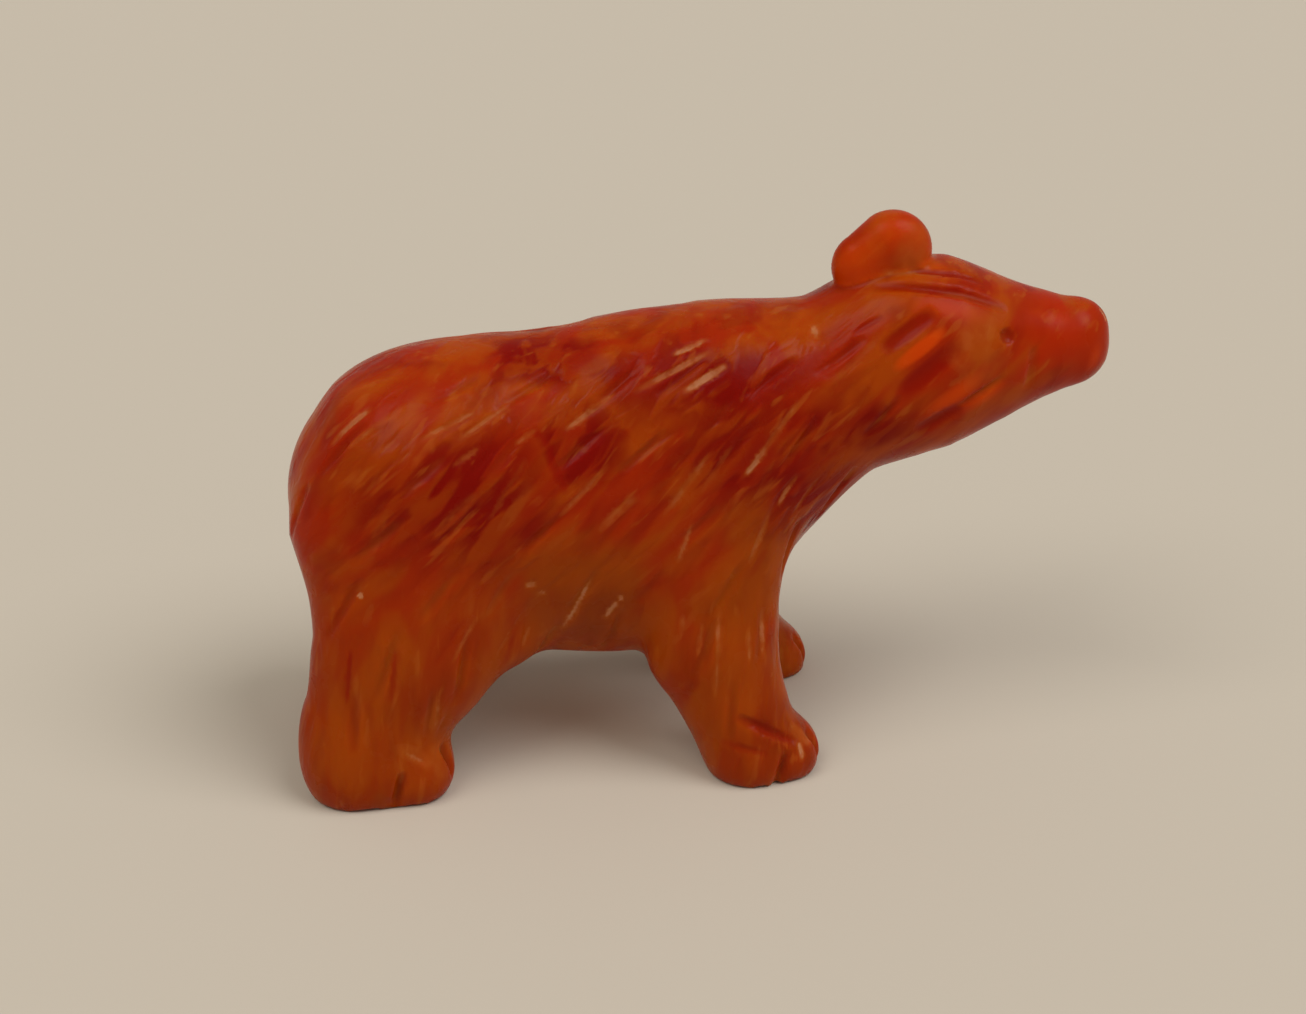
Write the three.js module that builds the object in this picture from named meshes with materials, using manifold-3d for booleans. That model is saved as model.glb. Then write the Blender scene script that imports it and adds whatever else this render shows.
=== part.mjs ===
import * as THREE from 'three';
import { ConvexGeometry } from 'three/addons/geometries/ConvexGeometry.js';
import { mergeVertices } from 'three/addons/utils/BufferGeometryUtils.js';
import Module from 'manifold-3d';

// Small standing bear carved from one piece of agate and polished.
// Millimetres, +X towards the nose, +Z up.
// The origin is on the floor, under the middle of the bear's box.

// Overall size of the carving.
const LENGTH = 50;
const WIDTH = 18.8;
const HEIGHT = 33.3;

// Fur: short cuts made with a thin bevelled wheel.
const WHEEL_RADIUS = 11;
const CUT_DEPTH = 0.3;
const CUT_WIDTH = 0.6;
const CUT_SPACING = 4.4;

// Toes are parted by deeper cuts.
const TOE_WHEEL_RADIUS = 3;
const TOE_CUT_DEPTH = 0.55;
const TOE_CUT_WIDTH = 0.8;

// Face.
const EYE_DIAMETER = 0.95;
const EYE_DEPTH = 0.38;
const LIP_STEP_DEPTH = 0.3;
const BROW_WHEEL_RADIUS = 26;
const CHEEK_WHEEL_RADIUS = 7;

// Facet size of the polished surface: on the body, on the head and on the ears.
const BODY_FACET = 1.9;
const HEAD_FACET = 1.3;
const EAR_FACET = 0.75;

// The bear's pose is drawn in hundredths of its length.
const unit = LENGTH / 100;

// A mass is a ball squashed sideways: centre x, y, z, its radius seen from the side, and half its width.
function mass(x, y, z, radius, halfWidth) {
  return { x, y, z, radius, halfWidth };
}

const torso = [
  mass(-34.8, 0, 33.2, 13.4, 13.4),
  mass(-32, 0, 36, 14.2, 14.2),
  mass(-23, 0, 33.2, 19.2, 14.4),
  mass(-10, 0, 32, 20.1, 13.8),
  mass(-3, 0, 36.2, 18.6, 13.4),
  mass(6, 0, 40.8, 14, 12.4),
];

const neckAndHead = [
  mass(6, 0, 40.8, 14, 12.4),
  mass(17, 0, 45, 10.1, 10.2),
  mass(25, 0, 48.2, 11.2, 9.8),
  mass(30, 0, 48.8, 10, 9.2),
  mass(36, 0, 48.8, 6.8, 6.6),
  mass(41, 0, 49.1, 5, 5),
  mass(45, 0, 49.1, 4.7, 4.6),
];

// The tip of the nose is blunt, with a squared upper edge.
const nose = [
  mass(46.2, 0, 51.2, 3, 3),
  mass(45.5, 0, 48.2, 3.8, 4),
];

// The near side (-Y) and the far side (+Y) of the bear.
const SIDES = [-1, 1];

// The far front paw is a little ahead of the near one, and lower at its tip.
const FRONT_STRIDE = 3;
const HIND_STRIDE = 1.2;

function frontLeg(side) {
  const step = side > 0 ? FRONT_STRIDE : 0;
  return [
    mass(0, side * 7.6, 31, 10.6, 7),
    mass(0.8 + step * 0.3, side * 11, 16, 7.2, 5.8),
    mass(3.4 + step * 0.8, side * 12.2, 8.6, 5.6, 5.2),
    mass(5.6 + step, side * 13, 3.4, 5.3, 5.4),
  ];
}

function frontPaw(side) {
  const step = side > 0 ? FRONT_STRIDE : 0;
  return [
    mass(5.1 + step, side * 13.2, 2.6, 5, 5.6),
    mass(9.8 + step, side * 12.9, 2 - step * 0.2, 3.9, 5),
  ];
}

function hindLeg(side) {
  const step = side > 0 ? HIND_STRIDE : 0;
  return [
    mass(-33.3, side * 6.8, 28.8, 14.8, 9.4),
    mass(-35.4 + step * 0.5, side * 10.6, 18, 10.3, 6.8),
    mass(-40 + step, side * 12, 9, 8.3, 6.2),
  ];
}

function hindPaw(side) {
  const step = side > 0 ? HIND_STRIDE : 0;
  return [
    mass(-41.6 + step, side * 12.8, 3.8, 6.9, 6.3),
    mass(-35.3 + step, side * 12.8, 2.8, 4.8, 5.7),
  ];
}

// The web of stone between the thigh and the belly.
function flankFold(side) {
  return [
    mass(-31, side * 8, 24, 10, 8),
    mass(-24.4, side * 7.6, 18.6, 5, 5.4),
  ];
}

function ear(side) {
  return [
    mass(20, side * 1, 59.7, 3.4, 1.9),
    mass(22.9, side * 1.3, 61.6, 4.1, 2.2),
  ];
}

// The belly is ground flat between the legs.
const BELLY_HEIGHT = 11.6;

// How softly one form runs into the next.
const BODY_BLEND = 4;
const LEG_BLEND = 3.2;
const EAR_BLEND = 1;
const NOSE_BLEND = 1.6;

// The two ears stand close together and run into one another, with a shallow dip between them.
const BETWEEN_EARS_BLEND = 4.6;

function smoothUnion(a, b, blend) {
  const h = Math.max(blend - Math.abs(a - b), 0) / blend;
  return Math.min(a, b) - h * h * blend * 0.25;
}

function smoothCut(a, b, blend) {
  return -smoothUnion(-a, -b, blend);
}

// Signed distance to the tapering form between two masses, negative inside.
function taper(px, py, pz, a, b) {
  const dx = b.x - a.x;
  const dy = b.y - a.y;
  const dz = b.z - a.z;
  const along = ((px - a.x) * dx + (py - a.y) * dy + (pz - a.z) * dz) / (dx * dx + dy * dy + dz * dz);
  const t = Math.min(Math.max(along, 0), 1);
  const radius = a.radius + (b.radius - a.radius) * t;
  const squash = radius / (a.halfWidth + (b.halfWidth - a.halfWidth) * t);
  const x = px - (a.x + dx * t);
  const y = (py - (a.y + dy * t)) * squash;
  const z = pz - (a.z + dz * t);
  return Math.hypot(x, y, z) - radius;
}

function chain(px, py, pz, masses, blend) {
  let distance = taper(px, py, pz, masses[0], masses[1]);
  for (let i = 1; i < masses.length - 1; i++) {
    distance = smoothUnion(distance, taper(px, py, pz, masses[i], masses[i + 1]), blend);
  }
  return distance;
}

const limbs = [frontLeg, frontPaw, hindLeg, hindPaw, flankFold];
const legs = SIDES.flatMap((side) => limbs.map((limb) => limb(side)));
const ears = SIDES.map(ear);

function bearField(px, py, pz) {
  let distance = chain(px, py, pz, torso, BODY_BLEND);
  distance = smoothCut(distance, BELLY_HEIGHT - pz, BODY_BLEND);
  distance = smoothUnion(distance, chain(px, py, pz, neckAndHead, BODY_BLEND), BODY_BLEND);
  distance = smoothUnion(distance, chain(px, py, pz, nose, NOSE_BLEND), NOSE_BLEND);
  for (const leg of legs) {
    distance = smoothUnion(distance, chain(px, py, pz, leg, LEG_BLEND), LEG_BLEND);
  }
  const [nearEar, farEar] = ears.map((lobe) => chain(px, py, pz, lobe, EAR_BLEND));
  return smoothUnion(distance, smoothUnion(nearEar, farEar, BETWEEN_EARS_BLEND), EAR_BLEND);
}

function fieldNormal(px, py, pz) {
  const e = 0.05;
  return new THREE.Vector3(
    bearField(px + e, py, pz) - bearField(px - e, py, pz),
    bearField(px, py + e, pz) - bearField(px, py - e, pz),
    bearField(px, py, pz + e) - bearField(px, py, pz - e),
  ).multiplyScalar(0.5 / e);
}

// Slides a point along the field's slope until it lies on the surface.
function settle(point, passes) {
  for (let i = 0; i < passes; i++) {
    const slope = fieldNormal(point.x, point.y, point.z);
    const step = bearField(point.x, point.y, point.z) / slope.lengthSq();
    point.addScaledVector(slope, -step);
  }
  return point;
}

// Grid lines along one axis. Each stretch gives where it ends and its own step.
function gridLines(start, ...stretches) {
  const lines = [start];
  for (const [end, step] of stretches) {
    while (lines[lines.length - 1] < end) lines.push(lines[lines.length - 1] + step / unit);
  }
  return lines;
}

// Skins the field: one vertex in each grid cell that the surface passes through, four-sided faces between.
function skin(xs, ys, zs) {
  const nx = xs.length;
  const ny = ys.length;
  const nz = zs.length;
  const node = (i, j, k) => (i * ny + j) * nz + k;
  const values = new Float64Array(nx * ny * nz);
  for (let i = 0; i < nx; i++) {
    for (let j = 0; j < ny; j++) {
      for (let k = 0; k < nz; k++) {
        values[node(i, j, k)] = bearField(xs[i], ys[j], zs[k]);
      }
    }
  }
  const corners = [0, 1, 2, 3, 4, 5, 6, 7].map((c) => [c & 1, (c >> 1) & 1, (c >> 2) & 1]);
  const edges = [];
  for (let a = 0; a < 8; a++) {
    for (const bit of [1, 2, 4]) {
      if (!(a & bit)) edges.push([a, a | bit]);
    }
  }
  const vertexOf = new Map();
  const positions = [];
  for (let i = 0; i < nx - 1; i++) {
    for (let j = 0; j < ny - 1; j++) {
      for (let k = 0; k < nz - 1; k++) {
        const value = corners.map(([a, b, c]) => values[node(i + a, j + b, k + c)]);
        const middle = new THREE.Vector3();
        let crossings = 0;
        for (const [a, b] of edges) {
          if ((value[a] < 0) === (value[b] < 0)) continue;
          const t = value[a] / (value[a] - value[b]);
          const [ai, aj, ak] = corners[a];
          const [bi, bj, bk] = corners[b];
          middle.x += xs[i + ai] + (xs[i + bi] - xs[i + ai]) * t;
          middle.y += ys[j + aj] + (ys[j + bj] - ys[j + aj]) * t;
          middle.z += zs[k + ak] + (zs[k + bk] - zs[k + ak]) * t;
          crossings++;
        }
        if (crossings === 0) continue;
        settle(middle.divideScalar(crossings), 3);
        vertexOf.set(node(i, j, k), positions.length / 3);
        positions.push(middle.x, middle.y, middle.z);
      }
    }
  }
  const corner = (index) => new THREE.Vector3().fromArray(positions, index * 3);
  const triangles = [];
  const addFace = (ring, flip) => {
    const [a, b, c, d] = flip ? [...ring].reverse() : ring;
    const shorter = corner(a).distanceTo(corner(c)) <= corner(b).distanceTo(corner(d));
    if (shorter) triangles.push(a, b, c, a, c, d);
    else triangles.push(b, c, d, b, d, a);
  };
  const cell = (i, j, k) => vertexOf.get(node(i, j, k));
  for (let i = 1; i < nx - 1; i++) {
    for (let j = 1; j < ny - 1; j++) {
      for (let k = 1; k < nz - 1; k++) {
        const inside = values[node(i, j, k)] < 0;
        if (inside !== values[node(i + 1, j, k)] < 0) {
          addFace([cell(i, j - 1, k - 1), cell(i, j, k - 1), cell(i, j, k), cell(i, j - 1, k)], !inside);
        }
        if (inside !== values[node(i, j + 1, k)] < 0) {
          addFace([cell(i - 1, j, k - 1), cell(i - 1, j, k), cell(i, j, k), cell(i, j, k - 1)], !inside);
        }
        if (inside !== values[node(i, j, k + 1)] < 0) {
          addFace([cell(i - 1, j - 1, k), cell(i, j - 1, k), cell(i, j, k), cell(i - 1, j, k)], !inside);
        }
      }
    }
  }
  const geometry = new THREE.BufferGeometry();
  geometry.setAttribute('position', new THREE.Float32BufferAttribute(positions, 3));
  geometry.setIndex(triangles);
  return geometry;
}

// From the drawing to millimetres: the body's box is brought to its stated size, with the soles at zero.
const body = skin(
  gridLines(-55, [14, BODY_FACET], [28, EAR_FACET], [54, HEAD_FACET]),
  gridLines(-24, [-5, HEAD_FACET], [5, EAR_FACET], [22, HEAD_FACET]),
  gridLines(-8, [6, HEAD_FACET], [56, BODY_FACET], [70, EAR_FACET]),
);
body.computeBoundingBox();
const drawn = body.boundingBox;
const scale = new THREE.Vector3(
  LENGTH / (drawn.max.x - drawn.min.x),
  WIDTH / (drawn.max.y - drawn.min.y),
  HEIGHT / drawn.max.z,
);
const shift = new THREE.Vector3(
  -(drawn.max.x + drawn.min.x) / 2,
  -(drawn.max.y + drawn.min.y) / 2,
  0,
);
body.translate(shift.x, shift.y, shift.z);
body.scale(scale.x, scale.y, scale.z);

// The surface point and its outward direction nearest a place in the drawing, in millimetres.
function onSurface(place) {
  const point = settle(place.clone(), 8);
  const slope = fieldNormal(point.x, point.y, point.z);
  return {
    point: point.add(shift).multiply(scale),
    normal: slope.divide(scale).normalize(),
  };
}

// Where a line of sight from one side first meets the body.
function fromSide(x, side, z) {
  let y = 22;
  while (y > 0 && bearField(x, side * y, z) > 0) y -= 0.25;
  return y > 0 ? new THREE.Vector3(x, side * y, z) : null;
}

// The rim of a bevelled wheel, sunk below the surface with its rim running along `direction`.
function wheelCut(seat, direction, radius, depth, width) {
  const across = new THREE.Vector3().crossVectors(seat.normal, direction).normalize();
  const along = new THREE.Vector3().crossVectors(across, seat.normal);
  const clearance = depth * 1.5;
  const rise = depth + clearance;
  const half = Math.sqrt(2 * radius * rise - rise * rise);
  const points = [];
  for (let i = -2; i <= 2; i++) {
    const reach = (half * i) / 2;
    const height = radius - Math.sqrt(radius * radius - reach * reach) - depth;
    const spread = (width / 2) * ((clearance - height) / depth);
    for (const offset of [0, -spread, spread]) {
      const lift = offset === 0 ? height : clearance;
      points.push(
        seat.point.clone()
          .addScaledVector(along, reach)
          .addScaledVector(across, offset)
          .addScaledVector(seat.normal, lift),
      );
    }
  }
  return new ConvexGeometry(points);
}

const wasm = await Module();
wasm.setup();

function toSolid(geometry) {
  const bare = new THREE.BufferGeometry();
  bare.setAttribute('position', geometry.getAttribute('position'));
  bare.setIndex(geometry.getIndex());
  const merged = mergeVertices(bare, 1e-5);
  return new wasm.Manifold(new wasm.Mesh({
    numProp: 3,
    vertProperties: new Float32Array(merged.getAttribute('position').array),
    triVerts: new Uint32Array(merged.getIndex().array),
  }));
}

const cuts = [];

// A steady scatter between -1 and 1, so that the fur isn't ruled.
function scatter(seed) {
  const wave = Math.sin(seed * 127.1 + 11.7) * 43758.5;
  return 2 * (wave - Math.floor(wave)) - 1;
}

// The lie of the fur seen from the side, as an angle above +X: forward and up on the back,
// and steeper down the legs, over the chest and round the rump.
function furAngle(x, z) {
  const low = THREE.MathUtils.smoothstep(34 - z, 0, 22);
  const chest = THREE.MathUtils.smoothstep(x, 2, 14) * (1 - THREE.MathUtils.smoothstep(z, 32, 44));
  const rump = THREE.MathUtils.smoothstep(-x, 36, 48) * (1 - low);
  return THREE.MathUtils.degToRad(46 + 36 * Math.max(low, chest) + 14 * rump);
}

// Rows of fur cuts over both sides, from the paws up to the ridge of the back and as far as the ears.
const FUR_END = 18;
const rowGap = (CUT_SPACING * 0.9) / unit;
const cutGap = CUT_SPACING / unit;
for (const side of SIDES) {
  let row = 0;
  for (let z = 11; z < 58; z += rowGap) {
    row++;
    let count = 0;
    for (let x = -46 + (row % 2) * cutGap * 0.5; x < FUR_END; x += cutGap) {
      count++;
      const seed = row * 31 + count * 7 + side;
      const place = fromSide(x + scatter(seed) * 1.4, side, z + scatter(seed + 0.5) * 1.4);
      if (place === null || Math.abs(place.y) < 3) continue;
      const seat = onSurface(place);
      if (seat.normal.z < -0.6) continue;
      const angle = furAngle(x, z) + scatter(seed + 0.25) * 0.12;
      const direction = new THREE.Vector3(Math.cos(angle), 0, Math.sin(angle));
      const depth = CUT_DEPTH * (0.85 + 0.25 * scatter(seed + 0.75));
      const radius = WHEEL_RADIUS * (1 + 0.3 * scatter(seed + 0.4));
      cuts.push(wheelCut(seat, direction, radius, depth, CUT_WIDTH));
    }
  }
}

// Strokes of the head, the same on both sides: where each sits seen from the side, its angle above +X,
// and the wheel's radius, depth and width.
const headStrokes = [
  { name: 'brow', x: 26.5, z: 58.6, angle: -14, radius: BROW_WHEEL_RADIUS, depth: 0.32, width: 0.7 },
  { name: 'upper brow', x: 28.4, z: 59.6, angle: -18, radius: WHEEL_RADIUS, depth: 0.2, width: 0.5 },
  { name: 'temple', x: 23.2, z: 54.6, angle: 40, radius: CHEEK_WHEEL_RADIUS, depth: 0.28, width: 1.1 },
  { name: 'cheek', x: 25.6, z: 50.2, angle: 41, radius: WHEEL_RADIUS, depth: 0.34, width: 1.3 },
  { name: 'jaw', x: 27.1, z: 43.8, angle: 32, radius: CHEEK_WHEEL_RADIUS, depth: 0.24, width: 0.9 },
  { name: 'throat', x: 20.5, z: 45, angle: 50, radius: WHEEL_RADIUS, depth: 0.22, width: 0.6 },
  { name: 'under eye', x: 32, z: 46.8, angle: 24, radius: WHEEL_RADIUS, depth: 0.2, width: 0.6 },
  { name: 'mouth corner', x: 38.6, z: 48.6, angle: 84, radius: CHEEK_WHEEL_RADIUS, depth: 0.22, width: 0.9 },
];
for (const side of SIDES) {
  for (const stroke of headStrokes) {
    const seat = onSurface(fromSide(stroke.x, side, stroke.z));
    const angle = THREE.MathUtils.degToRad(stroke.angle);
    const direction = new THREE.Vector3(Math.cos(angle), 0, Math.sin(angle));
    cuts.push(wheelCut(seat, direction, stroke.radius, stroke.depth, stroke.width));
  }
}

// Toes: two cuts run down over the front of each paw, and one parts the outer toe from the foot.
const TOE_OFFSET = 2;
for (const side of SIDES) {
  for (const paw of [frontPaw(side), hindPaw(side)]) {
    const tip = paw[1];
    const partToe = (place, direction) => {
      cuts.push(wheelCut(onSurface(place), direction, TOE_WHEEL_RADIUS, TOE_CUT_DEPTH, TOE_CUT_WIDTH));
    };
    for (const offset of [-TOE_OFFSET, TOE_OFFSET]) {
      const front = new THREE.Vector3(tip.x + tip.radius * 0.8, tip.y + offset, tip.z + tip.radius * 0.35);
      partToe(front, new THREE.Vector3(0.6, 0, -1));
    }
    partToe(fromSide(tip.x - tip.radius * 0.4, side, tip.z), new THREE.Vector3(0.25, 0, 1));
  }
  const crease = onSurface(fromSide(6.6, side, 7.6));
  cuts.push(wheelCut(crease, new THREE.Vector3(1, 0, -0.55), WHEEL_RADIUS, CUT_DEPTH, CUT_WIDTH));
}

// Eyes: a small round pit on each side of the brow.
for (const side of SIDES) {
  const seat = onSurface(fromSide(35.2, side, 53));
  const pit = new THREE.SphereGeometry(EYE_DIAMETER / 2, 12, 8);
  const lift = EYE_DIAMETER / 2 - EYE_DEPTH;
  const centre = seat.point.clone().addScaledVector(seat.normal, lift);
  pit.translate(centre.x, centre.y, centre.z);
  cuts.push(pit);
}

// The step of the lower lip, under the tip of the muzzle.
cuts.push(wheelCut(
  onSurface(new THREE.Vector3(46, 0, 44)),
  new THREE.Vector3(0, 1, 0),
  3,
  LIP_STEP_DEPTH,
  LIP_STEP_DEPTH * 2,
));

let solid = toSolid(body);
for (const cut of cuts) {
  solid = solid.subtract(toSolid(cut));
}

// The soles are ground flat, so that the bear stands.
const floor = new THREE.BoxGeometry(LENGTH * 2, WIDTH * 2, HEIGHT);
floor.translate(0, 0, -HEIGHT / 2);
solid = solid.subtract(toSolid(floor));

const carved = solid.getMesh();
const bearGeometry = new THREE.BufferGeometry();
bearGeometry.setAttribute('position', new THREE.BufferAttribute(new Float32Array(carved.vertProperties), 3));
bearGeometry.setIndex(new THREE.BufferAttribute(new Uint32Array(carved.triVerts), 1));
bearGeometry.computeVertexNormals();

const agate = new THREE.MeshStandardMaterial({ color: 0x8c2a05, roughness: 0.25, metalness: 0 });
const bear = new THREE.Mesh(bearGeometry, agate);
bear.name = 'bear';

const carving = new THREE.Group();
carving.add(bear);

export default carving;
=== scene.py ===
import math

import bmesh
import bpy
import numpy as np
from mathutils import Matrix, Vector
from mathutils.bvhtree import BVHTree


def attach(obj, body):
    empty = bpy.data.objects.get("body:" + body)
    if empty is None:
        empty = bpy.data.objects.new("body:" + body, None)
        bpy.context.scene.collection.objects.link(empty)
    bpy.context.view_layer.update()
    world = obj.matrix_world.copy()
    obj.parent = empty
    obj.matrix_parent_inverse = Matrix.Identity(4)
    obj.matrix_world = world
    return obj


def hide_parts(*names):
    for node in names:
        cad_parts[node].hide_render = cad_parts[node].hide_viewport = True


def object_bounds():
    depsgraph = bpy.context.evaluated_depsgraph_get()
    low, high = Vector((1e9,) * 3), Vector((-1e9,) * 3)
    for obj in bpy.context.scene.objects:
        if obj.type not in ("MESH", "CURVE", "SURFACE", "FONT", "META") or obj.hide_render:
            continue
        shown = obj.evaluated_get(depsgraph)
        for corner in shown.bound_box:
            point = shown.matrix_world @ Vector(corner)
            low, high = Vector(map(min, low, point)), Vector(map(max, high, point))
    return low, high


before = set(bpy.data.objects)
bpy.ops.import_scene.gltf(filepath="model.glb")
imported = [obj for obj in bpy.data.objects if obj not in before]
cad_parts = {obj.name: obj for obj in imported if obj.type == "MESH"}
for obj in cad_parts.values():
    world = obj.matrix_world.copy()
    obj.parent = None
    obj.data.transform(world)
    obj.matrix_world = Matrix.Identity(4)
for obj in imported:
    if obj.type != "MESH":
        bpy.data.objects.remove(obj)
cad_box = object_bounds()

# The table and the light around it.
# A plain pale sheet of paper under two wide soft lamps, seen from the bear's right side and from above.
MILLIMETRE = 0.001
SHEET_SIZE = 8
SHEET_COLOUR = (0.57, 0.51, 0.415, 1)
LAMP_HEIGHT = 0.3
LAMP_SPREAD = math.radians(38)

look_at = Vector((-2.8, 0, 15)) * MILLIMETRE
viewing_turn = math.radians(-7)
viewing_height = math.radians(25)
viewing_distance = 131 * MILLIMETRE
towards_camera = Vector((
    math.sin(viewing_turn) * math.cos(viewing_height),
    -math.cos(viewing_turn) * math.cos(viewing_height),
    math.sin(viewing_height),
))
bpy.ops.object.camera_add()
camera = bpy.context.object
camera.name = "camera"
camera.location = look_at + towards_camera * viewing_distance
camera.rotation_mode = "QUATERNION"
camera.rotation_quaternion = (-towards_camera).to_track_quat("-Z", "Y")
camera.data.sensor_width = 36
camera.data.lens = 58.8
camera.data.clip_start = 0.002
camera.data.clip_end = 20
bpy.context.scene.camera = camera

bpy.ops.mesh.primitive_plane_add(size=SHEET_SIZE)
sheet = bpy.context.object
sheet.name = "pale_sheet"
sheet_material = bpy.data.materials.new("pale_sheet")
sheet_material.use_nodes = True
sheet_shader = sheet_material.node_tree.nodes["Principled BSDF"]
sheet_shader.inputs["Base Color"].default_value = SHEET_COLOUR
sheet_shader.inputs["Roughness"].default_value = 0.85
sheet_shader.inputs["Specular IOR Level"].default_value = 0.145
sheet.data.materials.append(sheet_material)

# Two wide lamps hang high in front, to the left and right, and throw a soft shadow back on each side.
for lamp_name, towards_lamp, strength, tint in (
    ("left_lamp", (-0.55, -0.4, 1), 1.04, (1.0, 0.98, 0.94)),
    ("right_lamp", (0.6, -0.4, 1), 1.55, (0.98, 0.97, 1.0)),
):
    bpy.ops.object.light_add(type="SUN", location=(0, 0, LAMP_HEIGHT))
    lamp = bpy.context.object
    lamp.name = lamp_name
    lamp.data.angle = LAMP_SPREAD
    lamp.data.energy = strength
    lamp.data.color = tint
    lamp.rotation_mode = "QUATERNION"
    lamp.rotation_quaternion = (-Vector(towards_lamp)).to_track_quat("-Z", "Y")

# Light that has gone through the stone reddens the floor in its shadow.
under_belly = Vector((-8, 0, 5.2)) * MILLIMETRE
bpy.ops.object.light_add(type="AREA", location=under_belly)
lamp = bpy.context.object
lamp.name = "light_through_the_stone"
lamp.data.shape = "ELLIPSE"
lamp.data.size = 14 * MILLIMETRE
lamp.data.size_y = 10 * MILLIMETRE
lamp.data.energy = 0.00003
lamp.data.color = (1.0, 0.38, 0.12)

room = bpy.data.worlds.new("room")
bpy.context.scene.world = room
room.use_nodes = True
room_light = room.node_tree.nodes["Background"]
room_light.inputs["Color"].default_value = (1.0, 0.95, 0.88, 1)
room_light.inputs["Strength"].default_value = 0.34
bpy.context.scene.view_settings.view_transform = "Standard"

# The bear: one pebble-sized block of orange-red agate, ground to shape, cut with a thin bevelled wheel
# and polished. Its form is the solid's own, remeshed fine and settled on the smooth masses that the solid's
# facets follow, because balls run together by eye in the viewport wouldn't match it.
# The pose is drawn in hundredths of the bear's length. The drawing is shifted and then scaled to the solid.
UNIT = 0.5 * MILLIMETRE
DRAWN_SCALE = np.array((0.50791, 0.48533, 0.50294)) * MILLIMETRE
DRAWN_SHIFT = np.array((-0.44825, 0.00369, 0.0))
FRONT_STRIDE = 3.0
HIND_STRIDE = 1.2
BELLY_HEIGHT = 11.6
BODY_BLEND = 4.0
LEG_BLEND = 3.2
EAR_BLEND = 1.0
NOSE_BLEND = 1.6
BETWEEN_EARS_BLEND = 4.6
SIDES = (-1, 1)
SOLE_EDGE = 0.12 * MILLIMETRE


def mass(x, y, z, radius, half_width):
    """A ball squashed sideways: its centre, its radius seen from the side, and half its width."""
    return np.array((x, y, z, radius, half_width), float)


torso = [
    mass(-34.8, 0, 33.2, 13.4, 13.4),
    mass(-32, 0, 36, 14.2, 14.2),
    mass(-23, 0, 33.2, 19.2, 14.4),
    mass(-10, 0, 32, 20.1, 13.8),
    mass(-3, 0, 36.2, 18.6, 13.4),
    mass(6, 0, 40.8, 14, 12.4),
]
neck_and_head = [
    mass(6, 0, 40.8, 14, 12.4),
    mass(17, 0, 45, 10.1, 10.2),
    mass(25, 0, 48.2, 11.2, 9.8),
    mass(30, 0, 48.8, 10, 9.2),
    mass(36, 0, 48.8, 6.8, 6.6),
    mass(41, 0, 49.1, 5, 5),
    mass(45, 0, 49.1, 4.7, 4.6),
]
nose = [
    mass(46.2, 0, 51.2, 3, 3),
    mass(45.5, 0, 48.2, 3.8, 4),
]


def leg_masses(side):
    """The front leg, front paw, hind leg, hind paw and the web between thigh and belly, on one side."""
    front = FRONT_STRIDE if side > 0 else 0.0
    hind = HIND_STRIDE if side > 0 else 0.0
    return [
        [
            mass(0, side * 7.6, 31, 10.6, 7),
            mass(0.8 + front * 0.3, side * 11, 16, 7.2, 5.8),
            mass(3.4 + front * 0.8, side * 12.2, 8.6, 5.6, 5.2),
            mass(5.6 + front, side * 13, 3.4, 5.3, 5.4),
        ],
        [
            mass(5.1 + front, side * 13.2, 2.6, 5, 5.6),
            mass(9.8 + front, side * 12.9, 2 - front * 0.2, 3.9, 5),
        ],
        [
            mass(-33.3, side * 6.8, 28.8, 14.8, 9.4),
            mass(-35.4 + hind * 0.5, side * 10.6, 18, 10.3, 6.8),
            mass(-40 + hind, side * 12, 9, 8.3, 6.2),
        ],
        [
            mass(-41.6 + hind, side * 12.8, 3.8, 6.9, 6.3),
            mass(-35.3 + hind, side * 12.8, 2.8, 4.8, 5.7),
        ],
        [
            mass(-31, side * 8, 24, 10, 8),
            mass(-24.4, side * 7.6, 18.6, 5, 5.4),
        ],
    ]


def ear_masses(side):
    return [
        mass(20, side * 1, 59.7, 3.4, 1.9),
        mass(22.9, side * 1.3, 61.6, 4.1, 2.2),
    ]


legs = [limb for side in SIDES for limb in leg_masses(side)]
ears = [ear_masses(side) for side in SIDES]


def smooth_union(a, b, blend):
    """Runs two forms together, with a soft hollow as wide as the blend between them."""
    h = np.maximum(blend - np.abs(a - b), 0) / blend
    return np.minimum(a, b) - h * h * blend * 0.25


def taper(places, a, b):
    """The distance from each place to the tapering form between two masses, negative inside."""
    way = b[:3] - a[:3]
    t = np.clip((places - a[:3]) @ way / (way @ way), 0, 1)
    radius = a[3] + (b[3] - a[3]) * t
    squash = radius / (a[4] + (b[4] - a[4]) * t)
    away = places - (a[:3] + t[:, None] * way)
    return np.sqrt(away[:, 0] ** 2 + (away[:, 1] * squash) ** 2 + away[:, 2] ** 2) - radius


def chain(places, masses, blend):
    distance = taper(places, masses[0], masses[1])
    for a, b in zip(masses[1:-1], masses[2:]):
        distance = smooth_union(distance, taper(places, a, b), blend)
    return distance


def bear_form(places):
    """The distance from each place in the drawing to the bear's smooth skin, negative inside."""
    distance = chain(places, torso, BODY_BLEND)
    distance = -smooth_union(-distance, -(BELLY_HEIGHT - places[:, 2]), BODY_BLEND)
    distance = smooth_union(distance, chain(places, neck_and_head, BODY_BLEND), BODY_BLEND)
    distance = smooth_union(distance, chain(places, nose, NOSE_BLEND), NOSE_BLEND)
    for limb in legs:
        distance = smooth_union(distance, chain(places, limb, LEG_BLEND), LEG_BLEND)
    near_ear, far_ear = [chain(places, lobe, EAR_BLEND) for lobe in ears]
    return smooth_union(distance, smooth_union(near_ear, far_ear, BETWEEN_EARS_BLEND), EAR_BLEND)


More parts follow.
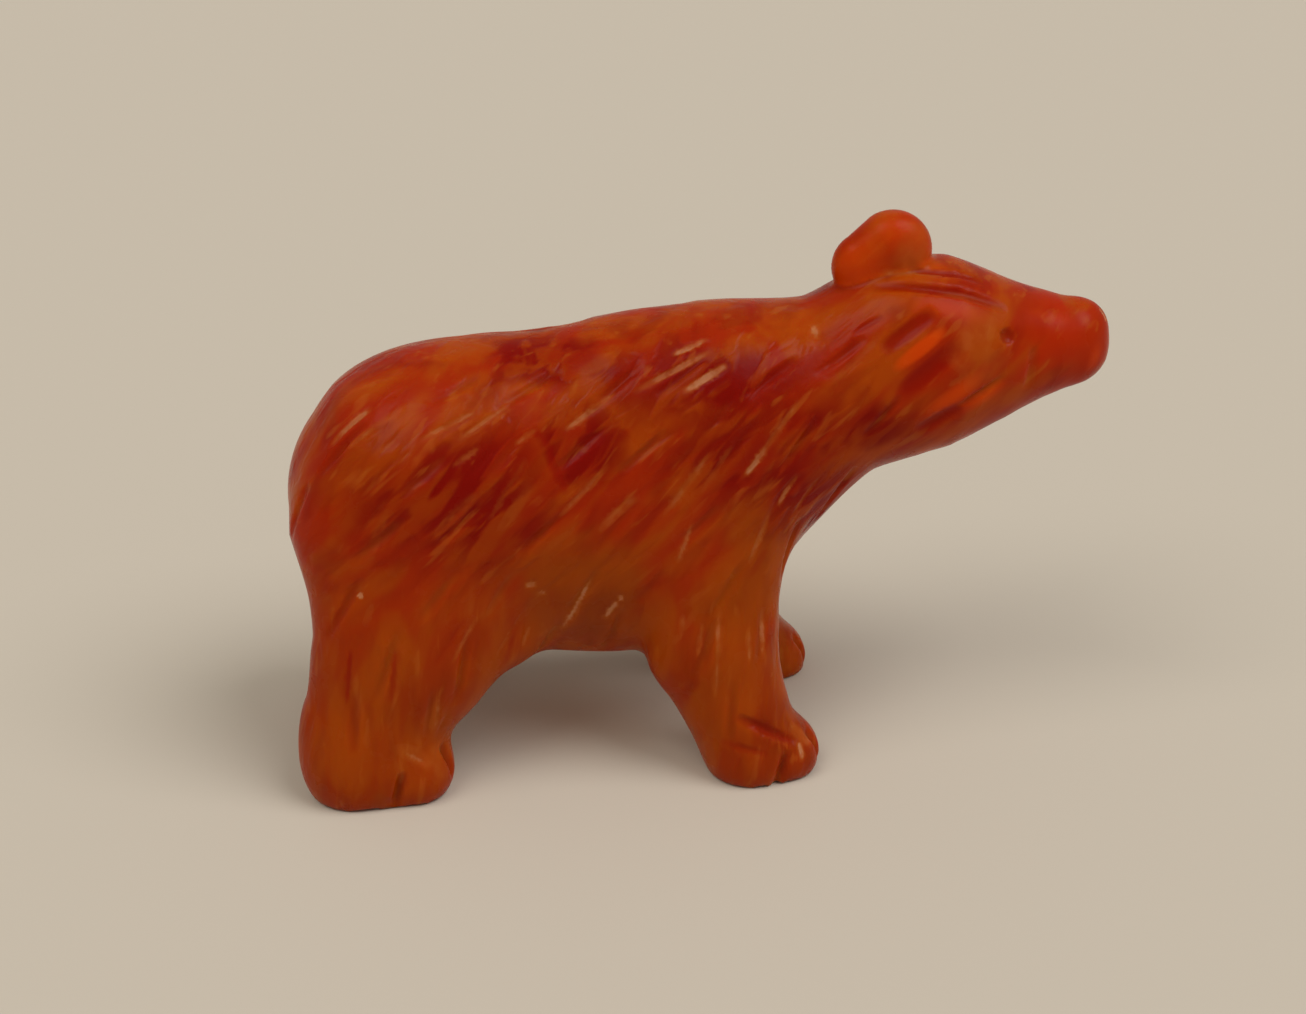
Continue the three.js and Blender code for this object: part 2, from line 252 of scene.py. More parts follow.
def form_slope(places):
    step = 0.05
    slope = np.empty_like(places)
    for axis in range(3):
        move = np.zeros(3)
        move[axis] = step
        slope[:, axis] = (bear_form(places + move) - bear_form(places - move)) / (2 * step)
    return slope


def to_drawing(points):
    return points / DRAWN_SCALE - DRAWN_SHIFT


def from_drawing(places):
    return (places + DRAWN_SHIFT) * DRAWN_SCALE


def settle(points, passes):
    """Slides points in metres on to the smooth form. The flat soles stay on the floor."""
    settled = points.copy()
    moving = points[:, 2] > SOLE_EDGE
    places = to_drawing(points[moving])
    for _ in range(passes):
        slope = form_slope(places)
        places -= slope * (bear_form(places) / (slope ** 2).sum(1))[:, None]
    settled[moving] = from_drawing(places)
    settled[:, 2] = np.maximum(settled[:, 2], 0)
    return settled


def outward(points):
    """The way out of the stone at each point."""
    slope = form_slope(to_drawing(points)) / DRAWN_SCALE
    return slope / np.linalg.norm(slope, axis=1)[:, None]


def points_of(mesh):
    flat = np.empty(len(mesh.vertices) * 3)
    mesh.vertices.foreach_get("co", flat)
    return flat.reshape(-1, 3)


def set_points(mesh, points):
    mesh.vertices.foreach_set("co", points.ravel())
    mesh.update()


stone = bpy.data.objects.new("bear_stone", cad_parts["bear"].data.copy())
bpy.context.scene.collection.objects.link(stone)
bpy.ops.object.select_all(action="DESELECT")
stone.select_set(True)
bpy.context.view_layer.objects.active = stone
bpy.ops.object.mode_set(mode="EDIT")
bpy.ops.mesh.select_all(action="SELECT")
bpy.ops.mesh.remove_doubles(threshold=1e-6)
bpy.ops.object.mode_set(mode="OBJECT")
remesh = stone.modifiers.new("fine_skin", "REMESH")
remesh.mode = "VOXEL"
remesh.voxel_size = 0.3 * MILLIMETRE
bpy.ops.object.modifier_apply(modifier="fine_skin")

for _ in range(3):
    relax = stone.modifiers.new("even_skin", "SMOOTH")
    relax.factor = 0.5
    relax.iterations = 4
    bpy.ops.object.modifier_apply(modifier="even_skin")
    set_points(stone.data, settle(points_of(stone.data), 3))

# The wheel's cuts in the bear: fur strokes, toes, brow, cheeks, eyes and lip.
# Each is a short groove with a bevelled bottom. Some stay frosted, because the polish doesn't reach them,
# and others are coloured a darker red than what is round them: partly redder stone, partly painted shade in
# the cut's hollow.

# A mark acts only on skin this close above or below its seat, and so never on the far side of a thin place.
MARK_REACH = 2.5 * MILLIMETRE


class Groove:
    """A cut of the wheel: its seat, the way it runs, and its length, width and depth in millimetres."""

    def __init__(self, seat, normal, direction, length, width, depth, frost=0.0, stain=0.0, glow=0.0):
        across = np.cross(normal, direction)
        self.across = across / np.linalg.norm(across)
        self.along = np.cross(self.across, normal)
        self.seat, self.normal = seat, normal
        self.half_length = length / 2 * MILLIMETRE
        self.half_width = width / 2 * MILLIMETRE
        self.depth = depth * MILLIMETRE
        self.frost, self.stain, self.glow = frost, stain, glow

    def share(self, points):
        """How much of the cut's depth each point takes, from 0 to 1."""
        away = points - self.seat
        u = np.abs(away @ self.along) / self.half_length
        v = np.abs(away @ self.across) / self.half_width
        close = np.abs(away @ self.normal) < MARK_REACH
        return np.clip(1 - u * u, 0, 1) ** 0.8 * np.clip(1 - v * v, 0, 1) ** 1.5 * close


class Pit:
    """A round hollow left by a ball-ended point, such as an eye or a small chip."""

    def __init__(self, seat, normal, radius, depth, frost=0.0, stain=0.0):
        self.seat, self.normal = seat, normal
        self.half_length = self.half_width = radius * MILLIMETRE
        self.along = np.cross(normal, (0.3, 0.2, 0.9))
        self.along /= np.linalg.norm(self.along)
        self.across = np.cross(self.along, normal)
        self.depth = depth * MILLIMETRE
        self.frost, self.stain, self.glow = frost, stain, 0.0

    def share(self, points):
        return np.sqrt(np.clip(1 - ((points - self.seat) ** 2).sum(1) / self.half_length ** 2, 0, 1))


def skin_tree():
    mesh = stone.data
    return BVHTree.FromPolygons(
        [v.co for v in mesh.vertices], [tuple(p.vertices) for p in mesh.polygons])


tree = skin_tree()


def seat_at(point):
    """The point of the skin nearest a point, and the way out of the stone there."""
    seat = settle(point[None], 4)
    return seat[0], outward(seat)[0]


def from_side(x, side, z):
    """The seat that a level line of sight from one side meets, at a place of the drawing, or nothing."""
    start = Vector(from_drawing(np.array((x, side * 40.0, z))))
    hit, _, _, _ = tree.ray_cast(start, Vector((0, -side, 0)))
    return None if hit is None else seat_at(np.array(hit))


def in_side_view(degrees):
    """The direction at an angle above +X."""
    return np.array((math.cos(math.radians(degrees)), 0, math.sin(math.radians(degrees))))


def scatter(seed):
    """A steady scatter between -1 and 1, so that the fur isn't ruled."""
    wave = math.sin(seed * 127.1 + 11.7) * 43758.5
    return 2 * (wave - math.floor(wave)) - 1


def ease(value, low, high):
    t = min(max((value - low) / (high - low), 0), 1)
    return t * t * (3 - 2 * t)


def fur_angle(x, z):
    """The lie of the fur in degrees above +X: forward and up on the back, steeper below and at both ends."""
    low = ease(34 - z, 0, 22)
    chest = ease(x, 2, 14) * (1 - ease(z, 32, 44))
    rump = ease(-x, 36, 48) * (1 - low)
    return 46 + 36 * max(low, chest) + 14 * rump


def in_rows(lowest, highest, row_gap, rear, front, stroke_gap, stagger):
    """Numbers rows and strokes, and places them in the drawing, from the paws up and the rump forward."""
    row = 0
    z = lowest
    while z < highest:
        row += 1
        count = 0
        x = rear + (row % 2) * stagger
        while x < front:
            count += 1
            yield row, count, x, z
            x += stroke_gap
        z += row_gap


marks = []

# The deep fur strokes, in staggered rows on both sides. The polish rounds their lips and leaves them a
# little shallower.
CUT_SPACING = 4.4
CUT_DEPTH = 0.3
CUT_WIDTH = 0.75
WHEEL_RADIUS = 11
LEFT_BY_POLISH = 0.7
RIDGE_WIDTH = 1.4 * MILLIMETRE
FUR_END = 18
row_gap = CUT_SPACING * 0.9 * MILLIMETRE / UNIT
cut_gap = CUT_SPACING * MILLIMETRE / UNIT
for side in SIDES:
    for row, count, x, z in in_rows(11.0, 58, row_gap, -46, FUR_END, cut_gap, cut_gap * 0.5):
        seed = row * 31 + count * 7 + side
        seat = from_side(x + scatter(seed) * 1.4, side, z + scatter(seed + 0.5) * 1.4)
        if seat is None or abs(seat[0][1]) <= RIDGE_WIDTH or seat[1][2] <= -0.6:
            continue
        angle = fur_angle(x, z) + math.degrees(scatter(seed + 0.25) * 0.12)
        depth = CUT_DEPTH * (0.85 + 0.25 * scatter(seed + 0.75))
        radius = WHEEL_RADIUS * (1 + 0.3 * scatter(seed + 0.4))
        length = 1.7 * math.sqrt(2 * radius * depth)
        tone = scatter(seed + 0.6)
        marks.append(Groove(
            *seat, in_side_view(angle), length, CUT_WIDTH, LEFT_BY_POLISH * depth,
            frost=0.3 * max(tone, 0), stain=0.4 * max(-tone, 0)))

# Light passes of the wheel between them.
for side in SIDES:
    for row, count, x, z in in_rows(9.0, 60, 4.8, -48.0, FUR_END + 1, 5.4, 0):
        seed = 911 + row * 53 + count * 17 + side * 3
        seat = from_side(x + scatter(seed) * 2.6, side, z + scatter(seed + 0.5) * 2.4)
        if seat is None or seat[1][2] <= -0.5 or scatter(seed + 0.1) <= 0:
            continue
        angle = fur_angle(x, z) + 14 * scatter(seed + 0.25)
        tone = scatter(seed + 0.6)
        length = 3 + 1.6 * scatter(seed + 0.3)
        width = 0.45 + 0.15 * scatter(seed + 0.9)
        depth = 0.05 + 0.03 * scatter(seed + 0.8)
        marks.append(Groove(
            *seat, in_side_view(angle), length, width, depth,
            frost=0.35 * max(tone, 0), stain=0.35 * max(-tone, 0)))

# Strokes that stand out, as seen from the side: place x, z in the drawing, angle above +X, then length, width
# and depth in millimetres, and how frosted and how red each one is.
clear_strokes = [
    # Shoulder, neck and chest.
    (-3.9, 50.9, 33, 5.4, 0.55, 0.12, 0.6, 0),
    (-1.6, 53, 36, 2.4, 0.5, 0.1, 0.8, 0),
    (-0.3, 50.2, 35, 3.2, 0.6, 0.12, 0.9, 0),
    (-13.5, 47, 39, 3.8, 0.5, 0.1, 0.6, 0),
    (7, 43.4, 51, 5.9, 0.5, 0.1, 0.5, 0),
    (5.2, 41, 51, 2.3, 0.5, 0.12, 0.95, 0),
    (-2.9, 38.7, 53, 5, 0.5, 0.1, 0.5, 0),
    (9.1, 36.8, 58, 2.4, 0.4, 0.08, 0.6, 0),
    (11.5, 35.5, 55, 3.1, 0.35, 0.08, 0.5, 0),
    (-3.1, 31.7, 71, 3, 0.4, 0.08, 0.55, 0),
    (5.7, 31.2, 64, 3.6, 0.45, 0.1, 0.55, 0),
    # A painted highlight on top of the neck, as a short frosted stroke.
    (12.9, 53.9, 93, 1.2, 0.5, 0.05, 0.8, 0),
    (-10.9, 35.7, 42, 3.4, 0.8, 0.06, 0.45, 0),
    (-7, 42.8, 43, 2.2, 0.4, 0.06, 0.4, 0),
    # Flank and rump.
    # A painted highlight on the rump, as a wide frosted stroke.
    (-40.5, 45.7, 41, 3.5, 0.6, 0.1, 0.65, 0),
    (-39.2, 45, 36, 2.2, 0.45, 0.08, 0.55, 0),
    (-29.4, 46.5, 31, 4, 0.45, 0.08, 0.55, 0),
    (-25.5, 46.6, 39, 3.8, 0.4, 0.08, 0.55, 0),
    (-27.7, 43.3, 36, 1.9, 0.4, 0.06, 0.45, 0),
    (-20.9, 44.9, 38, 1.6, 0.4, 0.06, 0.5, 0),
    (-15, 38.2, 45, 4, 0.5, 0.08, 0.5, 0),
    (-22.5, 37.1, 54, 4, 0.9, 0.05, 0.3, 0),
    (-29.3, 36.9, 42, 4, 0.9, 0.05, 0.3, 0),
    (-38.2, 34.4, 70, 4, 0.8, 0.05, 0.25, 0),
    # Belly.
    (-15.5, 23.5, 68, 5, 0.32, 0.1, 1, 0),
    (-11.5, 22.6, 65, 1.6, 0.4, 0.1, 1, 0),
    (-28.8, 21.4, 56, 3.4, 0.4, 0.08, 0.5, 0),
    (-21.5, 19.5, 70, 1.6, 0.35, 0.06, 0.5, 0),
    # Legs.
    (0.5, 17.9, 88, 6, 0.35, 0.08, 0.6, 0),
    (-1.5, 19.7, 83, 2.3, 0.35, 0.06, 0.5, 0),
    (6.2, 19.5, 81, 3.3, 0.45, 0.08, 0.65, 0),
    (4.4, 18.4, 86, 2, 0.4, 0.06, 0.55, 0),
    (-3.5, 21.1, 85, 1.8, 0.35, 0.06, 0.5, 0),
    (-32.2, 12.6, 86, 3.3, 0.35, 0.08, 0.55, 0),
    (-40.5, 11, 83, 1.9, 0.35, 0.06, 0.45, 0),
    (-35.2, 6.8, -35, 1.8, 0.35, 0.08, 0.8, 0),
    (-37.1, 18, 82, 3.6, 0.45, 0.08, 0, 0.7),
    (-42.2, 17.7, 85, 3.6, 0.4, 0.08, 0, 0.8),
    # A healed crack in the flank.
    (-19, 44.6, 124, 2, 0.5, 0.02, 0, 0.55),
    (-17.6, 41, 110, 3, 0.6, 0.02, 0, 0.7),
    # Brow, cheeks, jaw and the corner of the mouth. The two shallow frosted brow lines are a painted
    # highlight between the cuts.
    (27.6, 58.3, -17, 8.4, 0.9, 0.22, 0, 0.9),
    (28.4, 59.6, -18, 4.6, 0.7, 0.16, 0, 0.9),
    (24.6, 59.7, -16, 3.8, 0.35, 0.03, 0.6, 0),
    (31.4, 57.2, -16, 4.6, 0.8, 0.03, 0.3, 0),
    (18.7, 55, 29, 2.2, 0.6, 0.08, 0, 0.7),
    (23.2, 54.6, 38, 4, 1.3, 0.22, 0, 1),
    (25.6, 50.2, 40, 4.8, 1.6, 0.26, 0, 1),
    (27.1, 43.8, 32, 3.2, 1.2, 0.2, 0, 0.9),
    (20.5, 45, 50, 3.6, 0.6, 0.22, 0.15, 0),
    (32, 46.8, 24, 3.6, 0.6, 0.2, 0.3, 0),
    (29.6, 49.2, 30, 2.4, 0.5, 0.05, 0.35, 0),
    (38.6, 48.6, 84, 2.6, 0.9, 0.2, 0.25, 0),
    # Pale, milky places on the ear and in front of the eye.
    (24.6, 62.4, 70, 3.6, 2.8, 0, 0.4, 0),
    (31, 53, 50, 4.4, 3.4, 0, 0.42, 0),
    (32.6, 49.8, 30, 4, 2, 0, 0.35, 0),
    # Pale toes.
    (10.9, 5.6, -40, 2.2, 1.2, 0.02, 0.5, 0),
    (-35.1, 7, -35, 3.2, 1.2, 0.02, 0.45, 0),
    (-32.2, 5.3, 80, 2.6, 1.8, 0, 0.4, 0),
]
for side in SIDES:
    for number, (x, z, angle, length, width, depth, frost, stain) in enumerate(clear_strokes):
        # The far side has the same strokes, but the lighter ones don't match to a hair.
        drift = 1 if side > 0 and 0.04 < depth < 0.16 else 0
        seat = from_side(x + 1.5 * drift * scatter(number), side, z + 1.5 * drift * scatter(number + 0.5))
        direction = in_side_view(angle + 6 * drift * scatter(number + 0.7))
        marks.append(Groove(*seat, direction, length, width, depth, frost, stain))

# Toes: two cuts run down over the front of each paw, and one parts the outer toe from the foot.
TOE_OFFSET = 2
for side in SIDES:
    _, front_paw, _, hind_paw, _ = leg_masses(side)
    for tip in (front_paw[1], hind_paw[1]):
        for offset in (-TOE_OFFSET, TOE_OFFSET):
            front = np.array((tip[0] + tip[3] * 0.8, tip[1] + offset, tip[2] + tip[3] * 0.35))
            marks.append(Groove(
                *seat_at(from_drawing(front)), np.array((0.6, 0, -1)), 2.6, 0.8, 0.45, frost=0.3, stain=0.3))
        outer_toe = from_side(tip[0] - tip[3] * 0.4, side, tip[2])
        marks.append(Groove(*outer_toe, np.array((0.25, 0, 1)), 2.6, 0.8, 0.45, stain=0.3))
    # The two creases at each front paw are coloured darker red as painted shade.
    crease = from_side(6.6, side, 7.6)
    marks.append(Groove(*crease, np.array((1, 0, -0.55)), 4.6, 0.8, 0.26, stain=0.7))
    under_crease = from_side(3.6, side, 5.8)
    marks.append(Groove(*under_crease, np.array((1, 0, -0.3)), 3, 0.6, 0.1, stain=0.5))

# Eyes, their pits coloured darker red as painted shade.
EYE_RADIUS = 0.5
EYE_DEPTH = 0.24
for side in SIDES:
    marks.append(Pit(*from_side(35.2, side, 53), EYE_RADIUS, EYE_DEPTH, stain=0.6))

# Painted glow: patches where the colour turns a glowing orange for light in the stone, as seen from the side:
# place x, z in the drawing, angle above +X, then length and width in millimetres, and how strong the glow is.
painted_glow_patches = [
    # Between the two deep cheek cuts, along the jaw, and on the muzzle and the brow.
    (24.4, 52.6, 38, 5, 1.5, 1),
    (28.6, 46.8, 34, 6, 2.4, 0.8),
    (32.5, 46, 26, 5, 2, 0.7),
    (47, 48.4, 70, 3.4, 2.4, 0.6),
    (41, 54, -6, 7, 2.4, 0.5),
    (28, 56.6, -14, 9, 3, 0.6),
    (26, 61, -12, 6, 3, 0.6),
    # Rump and back: painted light on the rump's lit edge and the top of the back.
    (-44, 38, 84, 12, 4, 0.45),
    (-38, 49.5, 22, 10, 3, 0.5),
    (-26, 51, 14, 8, 2, 0.4),
]
for side in SIDES:
    for x, z, angle, length, width, glow in painted_glow_patches:
        marks.append(Groove(*from_side(x, side, z), in_side_view(angle), length, width, 0, glow=glow))

# The step of the lip, a chip on the nose and one on the near front paw, and on the near side small frosted
# pits whose bright colour is a painted glint.
lip = seat_at(from_drawing(np.array((46, 0, 44.0))))
marks.append(Groove(*lip, np.array((0, 1.0, 0)), 2.6, 0.6, 0.3))
nose_tip = seat_at(from_drawing(np.array((48.7, -1.2, 52.8))))
marks.append(Groove(*nose_tip, np.array((0.3, 0, 1)), 1, 0.5, 0.08, frost=1))
paw_edge = from_side(10.8, -1, 4.1)
marks.append(Groove(*paw_edge, np.array((0.1, 0, 1)), 1.3, 0.5, 0.08, frost=1))
for x, z, radius in ((-20.9, 27.2, 0.3), (-19.6, 25.9, 0.2), (-40.3, 27.5, 0.2), (-10.4, 24.4, 0.22)):
    marks.append(Pit(*from_side(x, -1, z), radius, 0.06, frost=1))


def near_a_mark(points, margin):
    """Which points lie in a mark that is cut into the stone, or within a margin round it."""
    close = np.zeros(len(points), bool)
    for mark in marks:
        if mark.depth == 0:
            continue
        away = points - mark.seat
        close |= (
            (np.abs(away @ mark.along) < mark.half_length + margin)
            & (np.abs(away @ mark.across) < mark.half_width + margin)
            & (np.abs(away @ mark.normal) < MARK_REACH)
        )
    return close


# The faces under the cuts are split, so that the bevels are crisp, and the new points settled on the form.
close = near_a_mark(points_of(stone.data), 0.1 * MILLIMETRE)
working = bmesh.new()
working.from_mesh(stone.data)
working.verts.ensure_lookup_table()
edges = [e for e in working.edges if close[e.verts[0].index] and close[e.verts[1].index]]
bmesh.ops.subdivide_edges(working, edges=edges, cuts=1, use_grid_fill=True)
bmesh.ops.triangulate(working, faces=[f for f in working.faces if len(f.verts) > 4])
working.to_mesh(stone.data)
working.free()
set_points(stone.data, settle(points_of(stone.data), 2))

points = points_of(stone.data)
normals = outward(points)
depth = np.zeros(len(points))
frost = np.zeros(len(points))
stain = np.zeros(len(points))
glow = np.zeros(len(points))
for mark in marks:
    near = np.nonzero(np.abs(points - mark.seat).max(1) < max(mark.half_length, mark.half_width))[0]
    share = mark.share(points[near])
    tint = np.clip(share * 1.8, 0, 1)
    depth[near] = np.maximum(depth[near], share * mark.depth)
    frost[near] = np.maximum(frost[near], tint * mark.frost)
    stain[near] = np.maximum(stain[near], tint * mark.stain)
    glow[near] = np.maximum(glow[near], share * mark.glow)

# How thin the stone is under each point, for a painted glow where light shows through the ears, the lips and
# the edges of the legs.
painted_glow = np.zeros(len(points))
for sounding in (1.5, 3.0, 4.5):
    inside = -bear_form(to_drawing(points - normals * sounding * MILLIMETRE)) * UNIT / MILLIMETRE
    painted_glow += np.clip(1 - inside / sounding, 0, 1) / 3

# The cut skin stays a hair inside the solid's box, and its soles on the floor.
HAIR = 0.001 * MILLIMETRE
points -= normals * depth[:, None]
lowest = np.array(cad_box[0]) + np.array((HAIR, HAIR, 0))
highest = np.array(cad_box[1]) - HAIR
points = np.clip(points, lowest, highest)
set_points(stone.data, points)
for name, values in (("frost", frost), ("stain", stain), ("painted_glow", np.maximum(painted_glow, glow))):
    attribute = stone.data.attributes.new(name, "FLOAT", "POINT")
    attribute.data.foreach_set("value", values)
bpy.ops.object.shade_smooth()

# The stone's look: saturated orange-red agate with deep red clouds, browner towards the belly and feet as
# painted shade, drawn out into short soft streaks along the fur, and polished to a soft gloss.
ORANGE_RED = (0.34, 0.019, 0.0004, 1)
DEEP_RED = (0.21, 0.003, 0.0002, 1)
BURNT_ORANGE = (0.38, 0.056, 0.0009, 1)
OLIVE_BROWN = (0.24, 0.045, 0.001, 1)
GLOW_ORANGE = (0.62, 0.06, 0.0008, 1)
CUT_RED = (0.27, 0.005, 0.0003, 1)
GLOW_RED = (0.43, 0.02, 0.0004, 1)
PALE_BROWN = (0.42, 0.095, 0.009, 1)
FROSTED = (0.54, 0.25, 0.12, 1)

agate = bpy.data.materials.new("polished_agate")
agate.use_nodes = True
agate.node_tree.nodes.clear()
nodes, links = agate.node_tree.nodes, agate.node_tree.links
output = nodes.new("ShaderNodeOutputMaterial")
shader = nodes.new("ShaderNodeBsdfPrincipled")
links.new(shader.outputs["BSDF"], output.inputs["Surface"])
place = nodes.new("ShaderNodeTexCoord")


def feed(value, socket):
    """Wires a node's output into a socket, or types a plain value into it."""
    if isinstance(value, (int, float, tuple)):
        socket.default_value = value
    else:
        links.new(value, socket)


def scaled(value, low, high, to_low=0.0, to_high=1.0):
    """Brings a value softly from one range to another, and holds it at the ends."""
    ramp = nodes.new("ShaderNodeMapRange")
    ramp.interpolation_type = "SMOOTHSTEP"
    for name, number in (("From Min", low), ("From Max", high), ("To Min", to_low), ("To Max", to_high)):
        ramp.inputs[name].default_value = number
    links.new(value, ramp.inputs["Value"])
    return ramp.outputs["Result"]


def combined(operation, first, second):
    node = nodes.new("ShaderNodeMath")
    node.operation = operation
    feed(first, node.inputs[0])
    feed(second, node.inputs[1])
    return node.outputs[0]


def laid_over(below, above, mask, amount=1.0):
    """Lays one colour over another by a mask."""
    mix = nodes.new("ShaderNodeMix")
    mix.data_type = "RGBA"
    links.new(combined("MULTIPLY", mask, amount), mix.inputs["Factor"])
    feed(below, mix.inputs["A"])
    feed(above, mix.inputs["B"])
    return mix.outputs["Result"]


def noise(vector, scale, detail=3.0, distortion=0.0):
    texture = nodes.new("ShaderNodeTexNoise")
    texture.inputs["Scale"].default_value = scale
    texture.inputs["Detail"].default_value = detail
    texture.inputs["Distortion"].default_value = distortion
    links.new(vector, texture.inputs["Vector"])
    return texture


def vector_sum(first, second):
    node = nodes.new("ShaderNodeVectorMath")
    node.operation = "ADD"
    feed(first, node.inputs[0])
    feed(second, node.inputs[1])
    return node.outputs["Vector"]


# The stone's own grain drags every cloud's edge out of line.
GRAIN_DRAG = 7 * MILLIMETRE
grain = nodes.new("ShaderNodeVectorMath")
grain.operation = "MULTIPLY_ADD"
links.new(noise(place.outputs["Object"], 170).outputs["Color"], grain.inputs[0])
grain.inputs[1].default_value = (GRAIN_DRAG,) * 3
grain.inputs[2].default_value = (-GRAIN_DRAG / 2,) * 3
dragged = vector_sum(place.outputs["Object"], grain.outputs["Vector"])


def streaks(degrees, drift, along, across, low, high):
    """Noise drawn out along the fur, as it lies at one angle above +X in side view."""
    turned = nodes.new("ShaderNodeVectorRotate")
    turned.rotation_type = "Y_AXIS"
    turned.inputs["Angle"].default_value = math.radians(degrees)
    links.new(vector_sum(place.outputs["Object"], (drift, drift * 0.7, -drift)), turned.inputs["Vector"])
    stretched = nodes.new("ShaderNodeVectorMath")
    stretched.operation = "MULTIPLY"
    stretched.inputs[1].default_value = (along, (along + across) / 2, across)
    links.new(turned.outputs["Vector"], stretched.inputs[0])
    return scaled(noise(stretched.outputs["Vector"], 1.0, 2.0, 0.35).outputs["Fac"], low, high)


split_place = nodes.new("ShaderNodeSeparateXYZ")
links.new(place.outputs["Object"], split_place.inputs[0])
height, way_forward = split_place.outputs["Z"], split_place.outputs["X"]
on_legs = scaled(height, 16 * MILLIMETRE, 10 * MILLIMETRE)


def fur_streaks(drift, along, across, low, high):
    """Streaks at the back's angle above and at the legs' steeper angle below."""
    blend = nodes.new("ShaderNodeMix")
    links.new(on_legs, blend.inputs["Factor"])
    links.new(streaks(44, drift, along, across, low, high), blend.inputs["A"])
    links.new(streaks(82, drift, along, across, low, high), blend.inputs["B"])
    return blend.outputs["Result"]


def cloud(middle, reach):
    """A soft-edged cloud in the stone, as a mask. Its middle and reach are in millimetres."""
    away = nodes.new("ShaderNodeVectorMath")
    away.operation = "SUBTRACT"
    links.new(dragged, away.inputs[0])
    away.inputs[1].default_value = [c * MILLIMETRE for c in middle]
    share = nodes.new("ShaderNodeVectorMath")
    share.operation = "DIVIDE"
    links.new(away.outputs["Vector"], share.inputs[0])
    share.inputs[1].default_value = [c * MILLIMETRE for c in reach]
    length = nodes.new("ShaderNodeVectorMath")
    length.operation = "LENGTH"
    links.new(share.outputs["Vector"], length.inputs[0])
    return scaled(length.outputs["Value"], 1.3, 0.4)


# Broad streaks of burnt orange, with fine ones of deep red among them.
broad = fur_streaks(0.0, 160, 440, 0.40, 0.60)
medium = fur_streaks(0.031, 260, 950, 0.42, 0.62)
colour = laid_over(ORANGE_RED, BURNT_ORANGE, broad, 0.85)
colour = laid_over(colour, DEEP_RED, fur_streaks(0.057, 190, 620, 0.5, 0.68), 0.42)

# Deep red clouds, densest over the shoulder, and in the muzzle a brighter red one, a painted glow of light
# through the stone.
red_masks = None
for middle, reach in [
    ((1.4, -4, 20.5), (5.5, 8, 4.4)),
    ((0, -4, 24.6), (6.5, 8, 2.6)),
    ((8, -4, 21.5), (4.5, 8, 2)),
    ((5, -4, 18), (4, 8, 3)),
    ((22, -2, 22.5), (3, 5, 2.2)),
    ((-15, -6, 19), (7, 7, 5)),
    ((-7.1, -6, 22), (2.4, 6, 2.2)),
    ((-9, -4, 25.5), (6, 8, 1.4)),
    ((4, -6, 3), (4, 5, 2)),
    ((-6, 7, 20), (9, 5, 5)),
    ((6, 7, 22), (6, 5, 4)),
    ((-20, 5, 24), (5, 5, 4)),
]:
    mask = cloud(middle, reach)
    red_masks = mask if red_masks is None else combined("MAXIMUM", red_masks, mask)
broken_red = combined("MULTIPLY", red_masks, scaled(medium, 0.0, 1.0, 1.0, 0.45))
colour = laid_over(colour, DEEP_RED, broken_red, 1.0)
muzzle_glow = combined("MULTIPLY", cloud((20.4, 0, 24.8), (4, 6, 3)), scaled(broad, 0.0, 1.0, 1.0, 0.3))
colour = laid_over(colour, GLOW_RED, muzzle_glow, 0.6)

# Darker and browner towards the belly and the feet, a painted shade for the light from above, and in three
# clouds low on the body.
shade_and_brown_masks = scaled(height, 18 * MILLIMETRE, 7 * MILLIMETRE, 0.0, 0.55)
for middle, reach in [((-7, -6, 11.5), (4.5, 7, 5)), ((3, -6, 13), (4, 6, 5)), ((-7, 6, 11), (8, 7, 5))]:
    shade_and_brown_masks = combined("MAXIMUM", shade_and_brown_masks, cloud(middle, reach))
colour = laid_over(colour, OLIVE_BROWN, shade_and_brown_masks, 0.7)
colour = laid_over(colour, BURNT_ORANGE, combined("MULTIPLY", shade_and_brown_masks, broad), 0.5)
colour = laid_over(colour, PALE_BROWN, fur_streaks(0.083, 300, 1500, 0.60, 0.74), 0.4)


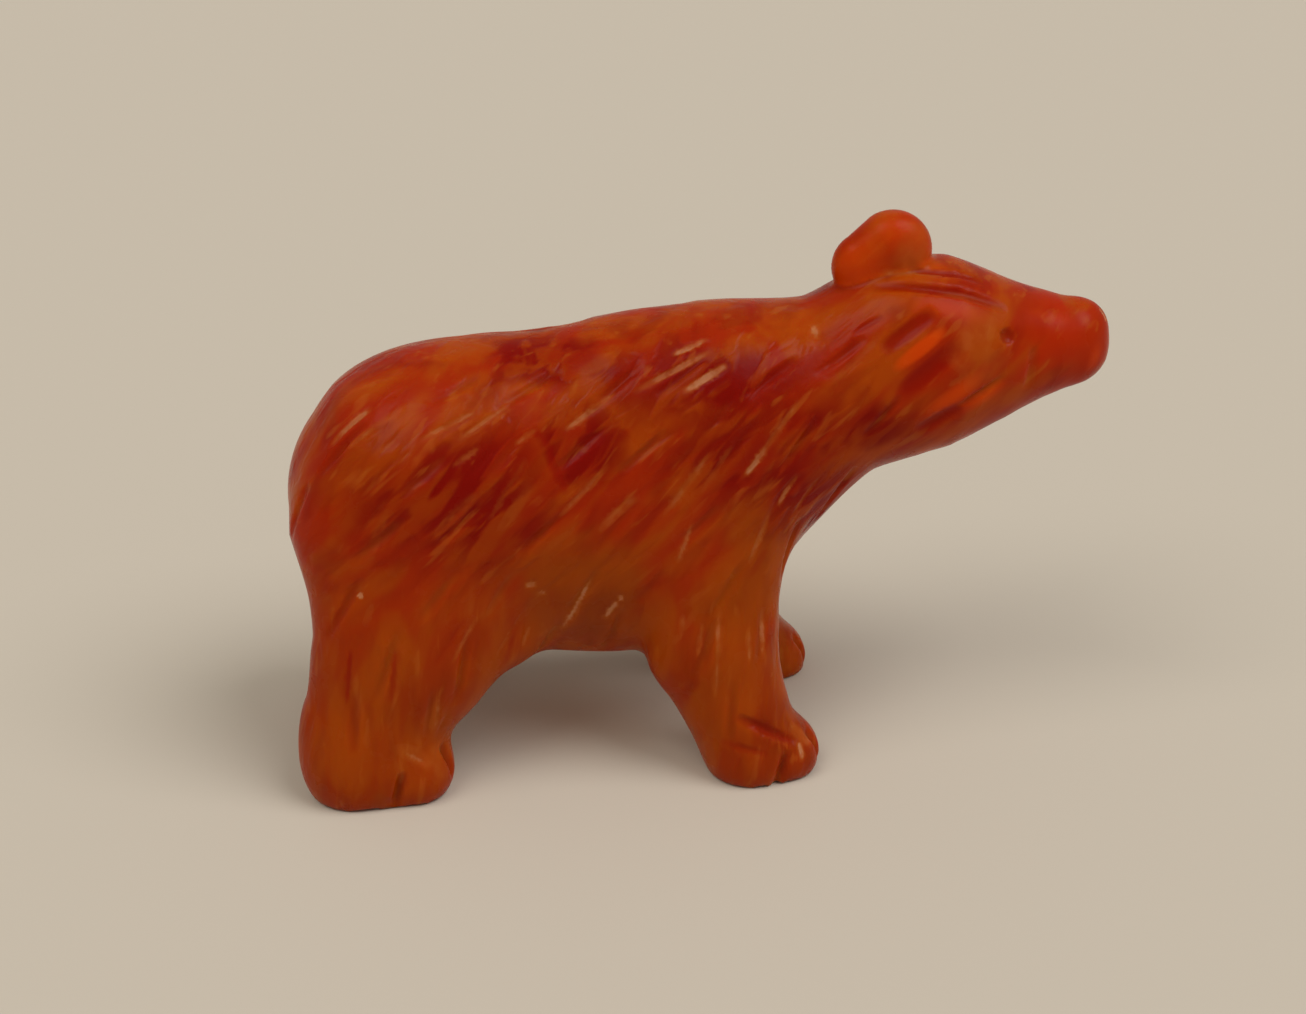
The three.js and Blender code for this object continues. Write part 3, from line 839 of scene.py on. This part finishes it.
def skin_value(name):
    """A value that the skin carries at each of its points."""
    attribute = nodes.new("ShaderNodeAttribute")
    attribute.attribute_name = name
    return attribute.outputs["Fac"]


# Orange painted glow where the stone is thin, darker red in the cuts (redder stone and painted shade), and
# pale in the frosted ones.
colour = laid_over(colour, GLOW_ORANGE, scaled(skin_value("painted_glow"), 0.35, 0.85), 0.75)
colour = laid_over(colour, CUT_RED, skin_value("stain"), 0.85)
broken = scaled(noise(place.outputs["Object"], 900).outputs["Fac"], 0.35, 0.6, 0.6, 1.0)
frosting = combined("MULTIPLY", skin_value("frost"), broken)
colour = laid_over(colour, PALE_BROWN, scaled(frosting, 0.0, 0.7), 0.6)
colour = laid_over(colour, FROSTED, scaled(frosting, 0.35, 1.0), 0.65)
links.new(colour, shader.inputs["Base Color"])

# Polish: softer in the frosted cuts, and a little uneven all over.
wear = scaled(noise(place.outputs["Object"], 260, 5.0).outputs["Fac"], 0.3, 0.7, 0.2, 0.34)
links.new(combined("ADD", wear, combined("MULTIPLY", frosting, 0.3)), shader.inputs["Roughness"])
shader.inputs["Subsurface Weight"].default_value = 0.55
shader.inputs["Subsurface Radius"].default_value = (1.0, 0.22, 0.06)
shader.inputs["Subsurface Scale"].default_value = 2 * MILLIMETRE
shader.inputs["IOR"].default_value = 1.54
shader.inputs["Specular IOR Level"].default_value = 0.06

# The fur's lie shows in the gloss, but not on the smooth head.
ripple = noise(place.outputs["Object"], 380, 3.0).outputs["Fac"]
behind_the_head = scaled(way_forward, 12 * MILLIMETRE, 6 * MILLIMETRE, 0.0, 0.5)
furry = combined("MULTIPLY", medium, behind_the_head)
uneven = combined("ADD", ripple, furry)
bump = nodes.new("ShaderNodeBump")
bump.inputs["Strength"].default_value = 0.28
bump.inputs["Distance"].default_value = 0.3 * MILLIMETRE
links.new(uneven, bump.inputs["Height"])
links.new(bump.outputs["Normal"], shader.inputs["Normal"])

stone.data.materials.clear()
stone.data.materials.append(agate)
for polygon in stone.data.polygons:
    polygon.material_index = 0
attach(stone, "root")
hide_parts("bear")
